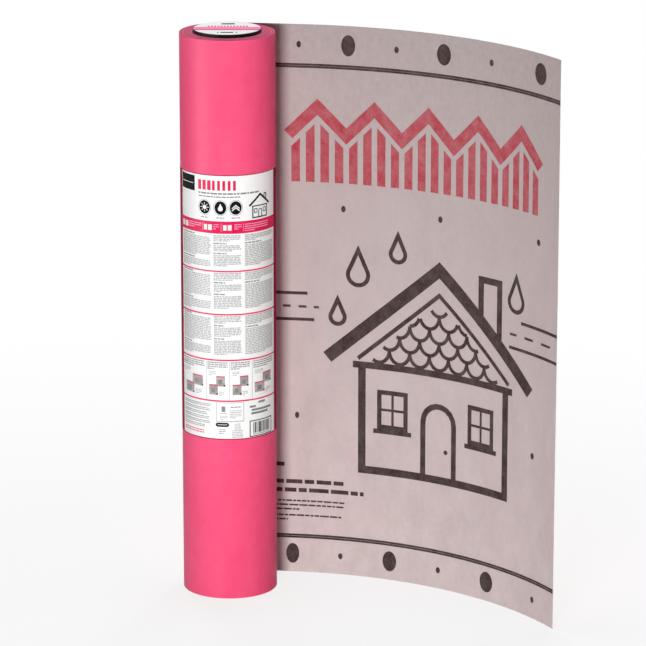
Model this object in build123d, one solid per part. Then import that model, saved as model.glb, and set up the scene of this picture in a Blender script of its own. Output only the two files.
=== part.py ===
"""Roll of roofing felt standing on its end, with its free end unrolled behind it.

The frame is in millimetres. The origin is the centre of the roll's foot, +Z is up along the
roll's axis, and -Y is the front, where the label is.
"""
from build123d import *
import math
import os

# Roll of felt
roll_length = 1067.0
roll_radius = 88.4
bore_radius = 38.1

# Turns that show on both ends
turn_pitch = 3.6
turn_groove_depth = 0.7

# Free end: a flat run off the back of the roll, then one bend towards the front
web_thickness = 0.6
leave_angle = 7.8
flat_run = 120.0
bend_radius = 623.0
bend_angle = 54.6

# Plug in the top of the bore
flange_radius = 63.0
flange_thickness = 6.2
flange_edge = 0.8
skirt_length = 32.0
skirt_wall = 2.6
skirt_lead = 1.2
plug_clearance = 0.15
seat_step = 0.5
seat_end_gap = 0.3
rib_count = 8
rib_thickness = 2.4
hub_radius = 12.0

# Paper labels
paper_thickness = 0.3
glue_line = 0.05
disc_margin = 0.5
wrap_bottom = 312.0
wrap_height = 505.0
wrap_half_angle = 72.0

seat_radius = bore_radius + seat_step
seat_depth = skirt_length + seat_end_gap
skirt_radius = seat_radius - plug_clearance
flange_top = roll_length + flange_thickness


def turn_radii():
    """Radii of the lines between the turns, from the bore's edge out to the last whole turn."""
    count = math.floor((roll_radius - seat_radius - 2 * turn_groove_depth) / turn_pitch)
    return [roll_radius - turn_pitch * step for step in range(1, count + 1)]


def wound_felt():
    """The wound roll, turned from one section, with V lines between the turns on both ends."""
    width = roll_radius - bore_radius
    groove = turn_groove_depth * math.sqrt(2)
    lines = [(radius, level) for radius in turn_radii() for level in (0, roll_length)]
    with BuildPart() as roll:
        with BuildSketch(Plane.XZ):
            with Locations((bore_radius + width / 2, roll_length / 2)):
                Rectangle(width, roll_length)
            with Locations((bore_radius, roll_length)):
                Rectangle(2 * seat_step, 2 * seat_depth, mode=Mode.SUBTRACT)
            with Locations(*lines):
                Rectangle(groove, groove, rotation=45, mode=Mode.SUBTRACT)
        revolve(axis=Axis.Z)
    return roll.part


def free_end():
    """The outer turn peeled off: it leaves along the roll's tangent and bends to the front."""
    angle = math.radians(leave_angle)
    outward = Vector(math.sin(angle), math.cos(angle))
    heading = Vector(math.cos(angle), -math.sin(angle))
    inner_skin = outward * (roll_radius - web_thickness)
    outer_skin = outward * roll_radius
    with BuildPart() as web:
        with BuildSketch(Plane.XY):
            with BuildLine():
                outer_run = Line(outer_skin, outer_skin + heading * flat_run)
                outer_bend = JernArc(outer_run @ 1, heading, bend_radius, -bend_angle)
                inner_run = Line(inner_skin, inner_skin + heading * flat_run)
                inner_bend = JernArc(inner_run @ 1, heading, bend_radius - web_thickness, -bend_angle)
                Line(outer_bend @ 1, inner_bend @ 1)
                Line(inner_skin, outer_skin)
            make_face()
        extrude(amount=roll_length)
    return web.part


def felt_roll():
    """Wound felt and free end are one web, so they are one solid."""
    return wound_felt() + free_end()


def end_plug():
    """Moulded plug: a flange on the roll's end, a ribbed skirt in the bore and a hub."""
    underside = roll_length
    skirt_end = underside - skirt_length
    with BuildPart() as plug:
        with BuildSketch(Plane.XY.offset(underside)):
            Circle(flange_radius)
        extrude(amount=flange_thickness)
        rim = plug.edges().filter_by(GeomType.CIRCLE).group_by(Axis.Z)[-1]
        chamfer(rim, flange_edge)
        with BuildSketch(Plane.XY.offset(skirt_end)):
            Circle(skirt_radius)
            Circle(skirt_radius - skirt_wall, mode=Mode.SUBTRACT)
        extrude(amount=skirt_length)
        mouth = plug.edges().filter_by(GeomType.CIRCLE).group_by(Axis.Z)[0].sort_by(SortBy.RADIUS)[-1]
        chamfer(mouth, skirt_lead)
        rib_reach = skirt_radius - skirt_wall / 2
        with BuildSketch(Plane.XY.offset(underside - skirt_length / 2)):
            Circle(hub_radius)
            with PolarLocations(rib_reach / 2, rib_count):
                Rectangle(rib_reach, rib_thickness)
            Circle(hub_radius - skirt_wall, mode=Mode.SUBTRACT)
        extrude(amount=skirt_length / 2)
    return plug.part


def end_label():
    """Round paper label on the plug's flange."""
    with BuildPart() as disc:
        with BuildSketch(Plane.XY.offset(flange_top)):
            Circle(flange_radius - flange_edge - disc_margin)
        extrude(amount=paper_thickness)
    return disc.part


def wrap_label():
    """Paper label round the front of the roll."""
    inner = roll_radius + glue_line
    with BuildPart() as label:
        with BuildSketch(Plane.XY.offset(wrap_bottom)):
            with BuildLine():
                inside = CenterArc((0, 0), inner, -90 - wrap_half_angle, 2 * wrap_half_angle)
                outside = CenterArc((0, 0), inner + paper_thickness, -90 - wrap_half_angle,
                                    2 * wrap_half_angle)
                Line(inside @ 0, outside @ 0)
                Line(inside @ 1, outside @ 1)
            make_face()
        extrude(amount=wrap_height)
    return label.part


def main():
    os.makedirs("parts", exist_ok=True)
    export_step(felt_roll(), "parts/felt_roll.step")
    export_step(end_plug(), "parts/end_plug.step")
    export_step(end_label(), "parts/end_label.step")
    export_step(wrap_label(), "parts/wrap_label.step")


main()
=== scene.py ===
"""Looks of a roll of roofing felt that stands on its end with its free end unrolled.

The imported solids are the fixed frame. This script dresses them and lays finer meshes around
them. Lengths are in metres, +Z is up, and the label on the roll faces -Y.
"""

import logging
import math
import random
from collections.abc import Callable, Sequence
from dataclasses import dataclass, field
from enum import Enum

import bmesh
import bpy
from mathutils import Matrix, Vector


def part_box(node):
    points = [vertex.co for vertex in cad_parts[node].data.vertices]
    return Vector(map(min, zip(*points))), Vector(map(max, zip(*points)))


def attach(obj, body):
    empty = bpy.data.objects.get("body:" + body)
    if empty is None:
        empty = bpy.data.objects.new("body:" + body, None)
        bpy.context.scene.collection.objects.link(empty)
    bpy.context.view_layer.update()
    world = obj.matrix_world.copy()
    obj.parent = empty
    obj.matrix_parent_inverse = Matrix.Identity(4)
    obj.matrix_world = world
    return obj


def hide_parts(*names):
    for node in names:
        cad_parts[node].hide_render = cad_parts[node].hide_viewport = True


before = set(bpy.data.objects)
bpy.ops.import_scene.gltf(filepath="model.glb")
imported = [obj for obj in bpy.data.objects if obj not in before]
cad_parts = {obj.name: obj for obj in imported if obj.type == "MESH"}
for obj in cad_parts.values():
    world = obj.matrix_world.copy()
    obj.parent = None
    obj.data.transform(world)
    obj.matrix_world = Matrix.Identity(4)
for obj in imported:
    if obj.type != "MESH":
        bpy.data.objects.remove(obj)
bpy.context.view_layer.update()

LOG = logging.getLogger("felt_roll")
MM = 0.001
BODY = "root"
RUN_MAP = "run_and_height"

BORE_RADIUS = 38.1 * MM
SEAT_RADIUS = 38.6 * MM
SEAT_DEPTH = 32.3 * MM
GLUE_LINE = 0.05 * MM
LABEL_HALF_TURN = math.radians(72.0)

Place = Callable[[float, float, float], Vector]


class Slot(Enum):
    """The record's material slots."""

    FELT = "felt"
    PLUG = "plug"
    PAPER = "paper"


class Tone(Enum):
    """Named colours, as eight-bit screen values."""

    PINK = (250, 93, 135)
    PINK_DEEP = (243, 80, 122)
    END_PINK = (250, 124, 158)
    END_SHADE = (112, 26, 52)
    GREY = (210, 198, 196)
    # Painted shade: the darker grey that the web's inner face goes over to towards the top.
    GREY_PAINTED_SHADE = (163, 152, 151)
    GREY_CLOUD = (190, 176, 175)
    GREY_ROSE = (212, 195, 194)
    DARK_INK = (60, 46, 44)
    RED_INK = (168, 60, 73)
    WHITE = (236, 236, 236)
    CRIMSON = (226, 3, 82)
    # Crimson darkened as painted shade, for the lines along the label's edges and for its hems.
    CRIMSON_WITH_PAINTED_SHADE = (150, 3, 52)
    PAPER = (250, 250, 249)
    TINT = (246, 168, 200)
    BLUSH = (250, 146, 196)
    TEXT = (120, 121, 123)
    PALE = (174, 176, 176)
    BLACK = (12, 12, 12)
    PLASTIC = (8, 8, 9)
    FLOOR = (160, 160, 160)


def linear(tone: Tone) -> tuple[float, float, float, float]:
    """Turns a screen colour into the renderer's linear one.

    Args:
        tone: The named colour.

    Returns:
        Red, green, blue and alpha, each from 0 to 1.
    """
    channels = []
    for value in tone.value:
        share = value / 255
        channels.append(share / 12.92 if share <= 0.04045 else ((share + 0.055) / 1.055) ** 2.4)
    return (channels[0], channels[1], channels[2], 1.0)


class Wiring:
    """Adds nodes to one tree and joins their sockets."""

    def __init__(self, tree: bpy.types.NodeTree) -> None:
        """Keeps the tree.

        Args:
            tree: The node tree to work in.
        """
        self.tree = tree

    def add(self, kind: str, **settings: object) -> bpy.types.Node:
        """Adds one node.

        Args:
            kind: The node's type name without its ShaderNode prefix.
            **settings: Properties of the node, set by name.

        Returns:
            The new node.
        """
        prefix = "" if kind.startswith("NodeGroup") else "ShaderNode"
        node = self.tree.nodes.new(prefix + kind)
        for name, value in settings.items():
            setattr(node, name, value)
        return node

    def put(self, socket: bpy.types.NodeSocket, value: object) -> None:
        """Links an input or sets it to a plain value.

        Args:
            socket: The input.
            value: A socket to link, or a plain value.
        """
        if isinstance(value, bpy.types.NodeSocket):
            self.tree.links.new(value, socket)
        else:
            socket.default_value = value

    def feed(self, node: bpy.types.Node, **inputs: object) -> bpy.types.Node:
        """Sets or links a node's inputs.

        Args:
            node: The node that takes the inputs.
            **inputs: A socket to link, or a plain value, by the input's name with _ for a space.

        Returns:
            The same node.
        """
        for name, value in inputs.items():
            self.put(node.inputs[name.replace("_", " ")], value)
        return node

    def parts(self, spot: bpy.types.NodeSocket) -> bpy.types.bpy_prop_collection:
        """Splits a place into its three measures.

        Args:
            spot: The place.

        Returns:
            The outputs X, Y and Z.
        """
        return self.feed(self.add("SeparateXYZ"), Vector=spot).outputs

    def math(self, operation: str, first: object, second: object = 0.0) -> bpy.types.NodeSocket:
        """Adds a math node.

        Args:
            operation: The node's operation.
            first: A socket or a number.
            second: A socket or a number.

        Returns:
            The node's output.
        """
        node = self.add("Math", operation=operation)
        for socket, value in zip(node.inputs, (first, second)):
            self.put(socket, value)
        return node.outputs[0]

    def mix(self, factor: object, first: object, second: object) -> bpy.types.NodeSocket:
        """Adds a colour mix.

        Args:
            factor: A socket or a number.
            first: The colour at factor 0.
            second: The colour at factor 1.

        Returns:
            The mixed colour.
        """
        node = self.add("Mix", data_type="RGBA")
        for index, value in ((0, factor), (6, first), (7, second)):
            self.put(node.inputs[index], value)
        return node.outputs[2]

    def ramp(self, factor: bpy.types.NodeSocket, low: float, high: float) -> bpy.types.NodeSocket:
        """Spreads a range of a factor over 0 to 1.

        Args:
            factor: The value to spread.
            low: The value that becomes 0.
            high: The value that becomes 1.

        Returns:
            The spread and clamped value.
        """
        node = self.add("MapRange", clamp=True)
        self.feed(node, Value=factor, From_Min=low, From_Max=high)
        return node.outputs["Result"]


def seen_directly(wiring: Wiring) -> bpy.types.NodeSocket:
    """Tells the rays that should see a white background from those that light the object.

    Args:
        wiring: The wiring of the floor's or the world's tree.

    Returns:
        1 for camera, glossy and transmission rays, and 0 for the rest.
    """
    path = wiring.add("LightPath")
    mirrored = wiring.math("MAXIMUM", path.outputs["Is Glossy Ray"], path.outputs["Is Transmission Ray"])
    return wiring.math("MAXIMUM", path.outputs["Is Camera Ray"], mirrored)


class SharedGroup(Enum):
    """Node groups that more than one finish places."""

    CLOUDS = "soft_clouds"
    FIBRES = "fine_fibres"
    SCUFFS = "handling_scuffs"

    def tree(self) -> bpy.types.NodeTree:
        """Gives the group's tree and builds it the first time.

        Returns:
            The tree.
        """
        known = bpy.data.node_groups.get(self.value)
        if known is not None:
            return known
        builders = {
            SharedGroup.CLOUDS: build_clouds,
            SharedGroup.FIBRES: build_fibres,
            SharedGroup.SCUFFS: build_scuffs,
        }
        tree = bpy.data.node_groups.new(self.value, "ShaderNodeTree")
        builders[self](tree)
        return tree


def open_group(
    tree: bpy.types.NodeTree, inputs: dict[str, float], output: str
) -> tuple[Wiring, dict[str, bpy.types.NodeSocket], bpy.types.NodeSocket]:
    """Gives a group its sockets.

    Args:
        tree: The new group's tree.
        inputs: Each input's name and its first value.
        output: The name of the one output.

    Returns:
        The wiring, the input sockets by name and the socket that takes the result.
    """
    for name, value in inputs.items():
        socket = tree.interface.new_socket(name=name, in_out="INPUT", socket_type="NodeSocketFloat")
        socket.default_value = value
    tree.interface.new_socket(name=output, in_out="OUTPUT", socket_type="NodeSocketFloat")
    wiring = Wiring(tree)
    entry = wiring.add("NodeGroupInput")
    result = wiring.add("NodeGroupOutput")
    return wiring, {name: entry.outputs[name] for name in inputs}, result.inputs[output]


def build_clouds(tree: bpy.types.NodeTree) -> None:
    """Soft uneven tone: two sizes of noise with a little upright streak.

    Args:
        tree: The group's tree.
    """
    finer, broad_share = 4.3, 0.62
    wiring, given, result = open_group(tree, {"Scale": 20.0, "Streak": 0.6}, "Factor")
    spot = wiring.add("TexCoord").outputs["Object"]
    parts = wiring.parts(spot)
    flat = wiring.feed(
        wiring.add("CombineXYZ"),
        X=parts["X"],
        Y=parts["Y"],
        Z=wiring.math("MULTIPLY", parts["Z"], given["Streak"]),
    )
    broad = wiring.feed(
        wiring.add("TexNoise"), Vector=flat.outputs[0], Scale=given["Scale"], Detail=3.0, Roughness=0.6
    )
    fine = wiring.feed(
        wiring.add("TexNoise"),
        Vector=spot,
        Scale=wiring.math("MULTIPLY", given["Scale"], finer),
        Detail=4.0,
        Roughness=0.65,
    )
    blend = wiring.math(
        "ADD",
        wiring.math("MULTIPLY", broad.outputs["Fac"], broad_share),
        wiring.math("MULTIPLY", fine.outputs["Fac"], 1.0 - broad_share),
    )
    tree.links.new(wiring.ramp(blend, 0.36, 0.64), result)


def build_fibres(tree: bpy.types.NodeTree) -> None:
    """Fine crossed fibres: noise drawn out along the height and along the run.

    Args:
        tree: The group's tree.
    """
    wiring, given, result = open_group(tree, {"Scale": 900.0, "Draw": 0.12}, "Height")
    spot = wiring.add("TexCoord").outputs["Object"]
    parts = wiring.parts(spot)
    fibres = []
    for drawn in ("Z", "XY"):
        sides = {
            axis: wiring.math("MULTIPLY", parts[axis], given["Draw"]) if axis in drawn else parts[axis]
            for axis in "XYZ"
        }
        stretched = wiring.feed(wiring.add("CombineXYZ"), **sides).outputs[0]
        noise = wiring.feed(wiring.add("TexNoise"), Vector=stretched, Scale=given["Scale"], Detail=2.0)
        fibres.append(noise.outputs["Fac"])
    tree.links.new(wiring.math("MAXIMUM", *fibres), result)


def build_scuffs(tree: bpy.types.NodeTree) -> None:
    """Sparse rubbed places from handling.

    Args:
        tree: The group's tree.
    """
    wiring, given, result = open_group(tree, {"Scale": 14.0, "Amount": 0.3}, "Mask")
    spot = wiring.add("TexCoord").outputs["Object"]
    broad = wiring.feed(
        wiring.add("TexNoise"), Vector=spot, Scale=given["Scale"], Detail=5.0, Roughness=0.7
    )
    mask = wiring.ramp(broad.outputs["Fac"], 0.58, 0.72)
    tree.links.new(wiring.math("MULTIPLY", mask, given["Amount"]), result)


@dataclass(frozen=True)
class Finish:
    """A surface finish: one shader whose colour, roughness and relief its subclasses feed.

    Attributes:
        name: The material's name.
        tone: The main colour.
        roughness: The plain roughness.
        gloss: The strength of the mirror-like part, where 0.5 is common plastic.
    """

    name: str
    tone: Tone
    roughness: float = 0.5
    gloss: float = 0.3

    def material(self) -> bpy.types.Material:
        """Gives the finish's material and makes it the first time.

        Returns:
            The material.
        """
        known = bpy.data.materials.get(self.name)
        if known is not None:
            return known
        made = bpy.data.materials.new(self.name)
        made.use_nodes = True
        tree = made.node_tree
        tree.nodes.clear()
        wiring = Wiring(tree)
        shader = wiring.add("BsdfPrincipled")
        shader.inputs["Base Color"].default_value = linear(self.tone)
        shader.inputs["Roughness"].default_value = self.roughness
        shader.inputs["Specular IOR Level"].default_value = self.gloss
        output = wiring.add("OutputMaterial")
        tree.links.new(shader.outputs[0], output.inputs["Surface"])
        self.dress(wiring, shader)
        return made

    def dress(self, wiring: Wiring, shader: bpy.types.Node) -> None:
        """Feeds the shader's colour, roughness and relief.

        Args:
            wiring: The material's wiring.
            shader: The Principled shader.
        """

    def shared(self, wiring: Wiring, group: SharedGroup, **inputs: float) -> bpy.types.NodeSocket:
        """Places a shared node group.

        Args:
            wiring: The material's wiring.
            group: The group to place.
            **inputs: The group's values.

        Returns:
            The group's output.
        """
        node = wiring.add("Group", node_tree=group.tree())
        wiring.feed(node, **inputs)
        return node.outputs[0]

    def relief(
        self, wiring: Wiring, shader: bpy.types.Node, height: bpy.types.NodeSocket, depth: float
    ) -> None:
        """Feeds a height into the shader's normal.

        Args:
            wiring: The material's wiring.
            shader: The Principled shader.
            height: The relief, from 0 to 1.
            depth: How deep 1 is, in metres.
        """
        bump = wiring.feed(wiring.add("Bump"), Height=height, Strength=0.6, Distance=depth)
        wiring.tree.links.new(bump.outputs[0], shader.inputs["Normal"])


@dataclass(frozen=True)
class WovenFace(Finish):
    """The web's outer face: flat woven tapes under a coloured film.

    Attributes:
        deep: The colour in the duller patches.
        tape: The width of one woven tape.
        rubbed: How much rougher the rubbed places are.
    """

    deep: Tone = Tone.PINK_DEEP
    tape: float = 1.3 * MM
    rubbed: float = 0.12

    def dress(self, wiring: Wiring, shader: bpy.types.Node) -> None:
        """Feeds the colour, the sheen and the weave's relief.

        Args:
            wiring: The material's wiring.
            shader: The Principled shader.
        """
        clouds = self.shared(wiring, SharedGroup.CLOUDS, Scale=9.0, Streak=0.25)
        colour = wiring.mix(clouds, linear(self.tone), linear(self.deep))
        wiring.feed(shader, Base_Color=colour)
        scuffs = self.shared(wiring, SharedGroup.SCUFFS, Scale=16.0, Amount=self.rubbed)
        wiring.feed(shader, Roughness=wiring.math("ADD", scuffs, self.roughness))
        spot = wiring.parts(wiring.add("UVMap", uv_map=RUN_MAP).outputs[0])
        turns = math.pi / self.tape
        across = wiring.math("SINE", wiring.math("MULTIPLY", spot["X"], turns))
        along = wiring.math("SINE", wiring.math("MULTIPLY", spot["Y"], turns))
        weave = wiring.math("MULTIPLY", across, along)
        fibres = self.shared(wiring, SharedGroup.FIBRES, Scale=500.0, Draw=0.1)
        self.relief(wiring, shader, wiring.math("ADD", weave, fibres), 0.02 * MM)


@dataclass(frozen=True)
class FibreFace(Finish):
    """The web's inner face: a matt fleece with a cloudy tone, which goes darker towards the top as painted
    shade.

    Attributes:
        cloud: The colour of the darker clouds.
        blush: The colour of the places where the outer face's colour shows through.
        painted_shade: The darker colour that the face goes over to from the foot up, painted shade.
        height: The height at which it has gone over.
        rosy: The most that the blush covers.
        flecked: The most that the fine flecks cover.
        painted_shade_share: How far the colour has gone over to the painted shade at that height.
    """

    cloud: Tone = Tone.GREY_CLOUD
    blush: Tone = Tone.GREY_ROSE
    painted_shade: Tone = Tone.GREY_PAINTED_SHADE
    height: float = 1.067
    rosy: float = 0.55
    flecked: float = 0.45
    painted_shade_share: float = 0.9

    def dress(self, wiring: Wiring, shader: bpy.types.Node) -> None:
        """Feeds the cloudy colour, the painted shade towards the top and the fibres' relief.

        Args:
            wiring: The material's wiring.
            shader: The Principled shader.
        """
        clouds = self.shared(wiring, SharedGroup.CLOUDS, Scale=24.0, Streak=0.5)
        rose = self.shared(wiring, SharedGroup.CLOUDS, Scale=9.0, Streak=0.8)
        colour = wiring.mix(clouds, linear(self.tone), linear(self.cloud))
        colour = wiring.mix(wiring.math("MULTIPLY", rose, self.rosy), colour, linear(self.blush))
        spot = wiring.parts(wiring.add("UVMap", uv_map=RUN_MAP).outputs[0])
        # Painted shade: the colour goes over to a darker grey from the foot to the top.
        rise = wiring.ramp(spot["Y"], 0.0, self.height)
        colour = wiring.mix(wiring.math("MULTIPLY", rise, self.painted_shade_share), colour, linear(self.painted_shade))
        flecks = self.shared(wiring, SharedGroup.CLOUDS, Scale=110.0, Streak=0.7)
        colour = wiring.mix(wiring.math("MULTIPLY", flecks, self.flecked), colour, linear(self.cloud))
        fibres = self.shared(wiring, SharedGroup.FIBRES, Scale=700.0, Draw=0.08)
        wiring.feed(shader, Base_Color=colour)
        self.relief(wiring, shader, fibres, 0.12 * MM)


@dataclass(frozen=True)
class WoundEnd(Finish):
    """The roll's end, where the cut edges of the turns lie side by side.

    Attributes:
        shade: The colour between the turns.
        pitch: The spacing of the finest turns.
        ring: The spacing of the rings that stand out.
        shares: How much the fine turns, the uneven bands and the rings each lighten the colour.
    """

    shade: Tone = Tone.END_SHADE
    pitch: float = 0.9 * MM
    ring: float = 5.0 * MM
    shares: tuple[float, float, float] = (0.15, 0.3, 0.6)

    def dress(self, wiring: Wiring, shader: bpy.types.Node) -> None:
        """Feeds a spiral of fine turns into the colour and the relief.

        Args:
            wiring: The material's wiring.
            shader: The Principled shader.
        """
        spot = wiring.parts(wiring.add("TexCoord").outputs["Object"])
        east, north = spot["X"], spot["Y"]
        squares = [wiring.math("MULTIPLY", side, side) for side in (east, north)]
        radius = wiring.math("SQRT", wiring.math("ADD", *squares))
        bearing = wiring.math("ARCTAN2", north, east)
        phase = wiring.math("ADD", wiring.math("MULTIPLY", radius, math.tau / self.pitch), bearing)
        turns = wiring.ramp(wiring.math("SINE", phase), -1.0, 1.0)
        coarse = wiring.math("SINE", wiring.math("MULTIPLY", radius, math.tau / self.ring))
        rings = wiring.ramp(coarse, -0.8, 0.8)
        bands = wiring.add("TexNoise", noise_dimensions="1D")
        wiring.feed(bands, W=radius, Scale=430.0, Detail=3.0, Roughness=0.7)
        depth = wiring.ramp(bands.outputs["Fac"], 0.3, 0.7)
        fine, uneven, ringed = (
            wiring.math("MULTIPLY", light, share)
            for light, share in zip((turns, depth, rings), self.shares)
        )
        factor = wiring.math("ADD", ringed, wiring.math("ADD", fine, uneven))
        wiring.feed(shader, Base_Color=wiring.mix(factor, linear(self.shade), linear(self.tone)))
        self.relief(wiring, shader, turns, 0.25 * MM)


@dataclass(frozen=True)
class PrintInk(Finish):
    """Ink that has sunk unevenly into what it is printed on.

    Attributes:
        ground: The colour that shows where the ink is thin.
        thin: How much of the ground shows at the thinnest.
    """

    ground: Tone = Tone.GREY
    thin: float = 0.18

    def dress(self, wiring: Wiring, shader: bpy.types.Node) -> None:
        """Feeds the ink's uneven cover.

        Args:
            wiring: The material's wiring.
            shader: The Principled shader.
        """
        clouds = self.shared(wiring, SharedGroup.CLOUDS, Scale=60.0, Streak=0.8)
        share = wiring.math("MULTIPLY", clouds, self.thin)
        wiring.feed(shader, Base_Color=wiring.mix(share, linear(self.tone), linear(self.ground)))
        fibres = self.shared(wiring, SharedGroup.FIBRES, Scale=700.0, Draw=0.08)
        self.relief(wiring, shader, fibres, 0.05 * MM)


@dataclass(frozen=True)
class MouldedPlastic(Finish):
    """Black plastic with a fine spark-eroded grain.

    Attributes:
        rubbed: How much rougher the rubbed places are.
    """

    rubbed: float = 0.25

    def dress(self, wiring: Wiring, shader: bpy.types.Node) -> None:
        """Feeds the grain and the rubbed places.

        Args:
            wiring: The material's wiring.
            shader: The Principled shader.
        """
        spot = wiring.add("TexCoord").outputs["Object"]
        grain = wiring.feed(wiring.add("TexNoise"), Vector=spot, Scale=2400.0, Detail=2.0)
        scuffs = self.shared(wiring, SharedGroup.SCUFFS, Scale=30.0, Amount=self.rubbed)
        wiring.feed(shader, Roughness=wiring.math("ADD", scuffs, self.roughness))
        self.relief(wiring, shader, grain.outputs["Fac"], 0.03 * MM)


@dataclass(frozen=True)
class LabelPaper(Finish):
    """Coated label paper with a faint tooth.

    Attributes:
        shade: The colour of the faint clouds in the paper.
        clouded: The most that they cover.
    """

    shade: Tone = Tone.PALE
    clouded: float = 0.08

    def dress(self, wiring: Wiring, shader: bpy.types.Node) -> None:
        """Feeds the paper's faint unevenness.

        Args:
            wiring: The material's wiring.
            shader: The Principled shader.
        """
        clouds = self.shared(wiring, SharedGroup.CLOUDS, Scale=30.0, Streak=0.8)
        share = wiring.math("MULTIPLY", clouds, self.clouded)
        wiring.feed(shader, Base_Color=wiring.mix(share, linear(self.tone), linear(self.shade)))
        fibres = self.shared(wiring, SharedGroup.FIBRES, Scale=1200.0, Draw=0.3)
        self.relief(wiring, shader, fibres, 0.02 * MM)


@dataclass(frozen=True)
class StudioFloor(Finish):
    """A pale floor that the camera and glossy rays see as white, with a soft shadow.

    Attributes:
        near_glow: The share of plain white in what the camera sees beside the object.
        far_glow: That share far from it.
        near: How far from the middle the change starts.
        far: How far from the middle it ends.
    """

    near_glow: float = 0.78
    far_glow: float = 1.0
    near: float = 0.55
    far: float = 2.0

    def dress(self, wiring: Wiring, shader: bpy.types.Node) -> None:
        """Mixes plain white over the floor for the rays that should see a white background.

        Args:
            wiring: The material's wiring.
            shader: The Principled shader.
        """
        seen = seen_directly(wiring)
        wiring.feed(shader, Base_Color=wiring.mix(seen, linear(self.tone), linear(Tone.WHITE)))
        spot = wiring.add("TexCoord").outputs["Object"]
        reach = wiring.add("VectorMath", operation="LENGTH")
        wiring.tree.links.new(spot, reach.inputs[0])
        away = wiring.ramp(reach.outputs["Value"], self.near, self.far)
        added = wiring.math("MULTIPLY", away, self.far_glow - self.near_glow)
        glow = wiring.math("ADD", added, self.near_glow)
        white = wiring.feed(wiring.add("Emission"), Strength=1.0)
        mixer = wiring.feed(wiring.add("MixShader"), Fac=wiring.math("MULTIPLY", seen, glow))
        wiring.tree.links.new(shader.outputs[0], mixer.inputs[1])
        wiring.tree.links.new(white.outputs[0], mixer.inputs[2])
        output = next(node for node in wiring.tree.nodes if node.type == "OUTPUT_MATERIAL")
        wiring.tree.links.new(mixer.outputs[0], output.inputs["Surface"])


OUTER_FACE = WovenFace("felt_outer_face", Tone.PINK, 0.5, 0.1)
INNER_FACE = FibreFace("felt_inner_face", Tone.GREY, 0.9, 0.1)
CUT_TURNS = WoundEnd("felt_wound_end", Tone.END_PINK, 0.7, 0.15)
WEB_DARK = PrintInk("web_ink_dark", Tone.DARK_INK, 0.85, 0.04, thin=0.08)
WEB_RED = PrintInk("web_ink_red", Tone.RED_INK, 0.85, 0.1)
PLUG_BLACK = MouldedPlastic("plug_black", Tone.PLASTIC, 0.5, 0.12)
PAPER_WHITE = LabelPaper("label_paper", Tone.PAPER, 0.5, 0.15)
PALE_FLOOR = StudioFloor("studio_floor", Tone.FLOOR, 0.9, 0.0)
LABEL_INKS = {
    # The darker crimson ink is painted shade at the label's edges.
    Tone.CRIMSON_WITH_PAINTED_SHADE: PrintInk(
        "label_ink_crimson_with_painted_shade", Tone.CRIMSON_WITH_PAINTED_SHADE, 0.6, 0.05, Tone.CRIMSON, 0.05
    ),
    Tone.CRIMSON: PrintInk("label_ink_crimson", Tone.CRIMSON, 0.5, 0.15, Tone.WHITE, 0.03),
    Tone.TINT: PrintInk("label_ink_tint", Tone.TINT, 0.45, ground=Tone.WHITE, thin=0.1),
    Tone.BLUSH: PrintInk("label_ink_blush", Tone.BLUSH, 0.6, 0.05, Tone.TINT, 0.05),
    Tone.TEXT: PrintInk("label_ink_text", Tone.TEXT, 0.5, ground=Tone.WHITE, thin=0.12),
    Tone.PALE: PrintInk("label_ink_pale", Tone.PALE, 0.5, ground=Tone.WHITE, thin=0.1),
    Tone.BLACK: PrintInk("label_ink_black", Tone.BLACK, 0.6, 0.06, Tone.TEXT, 0.02),
    Tone.WHITE: PrintInk("label_ink_white", Tone.WHITE, 0.5, ground=Tone.PALE, thin=0.05),
    Tone.GREY_CLOUD: PrintInk("label_ink_grey", Tone.GREY_CLOUD, 0.5, ground=Tone.TEXT, thin=0.8),
}

# How far each ink stands off the label, in ink thicknesses, so that overlapping inks lie apart.
PLAIN_LAYER = 2.0
INK_LAYERS = {Tone.GREY_CLOUD: 0.5, Tone.BLACK: 3.5, Tone.WHITE: 5.0, Tone.TINT: 5.0}


def adopt(
    mesh: bmesh.types.BMesh, name: str, finishes: Sequence[Finish], slot: Slot, sharp: float = 35.0
) -> bpy.types.Object:
    """Turns a finished bmesh into a piece that rides on the part's body.

    Args:
        mesh: The shape, with its place in it.
        name: The piece's name.
        finishes: The finishes, in the order of the faces' material numbers.
        slot: The record's material slot; not used.
        sharp: The angle between faces, in degrees, over which an edge stays sharp.

    Returns:
        The new object.
    """
    data = bpy.data.meshes.new(name)
    mesh.to_mesh(data)
    mesh.free()
    for finish in finishes:
        data.materials.append(finish.material())
    data.shade_smooth()
    data.set_sharp_from_angle(angle=math.radians(sharp))
    piece = bpy.data.objects.new(name, data)
    bpy.context.scene.collection.objects.link(piece)
    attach(piece, BODY)
    return piece


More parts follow.
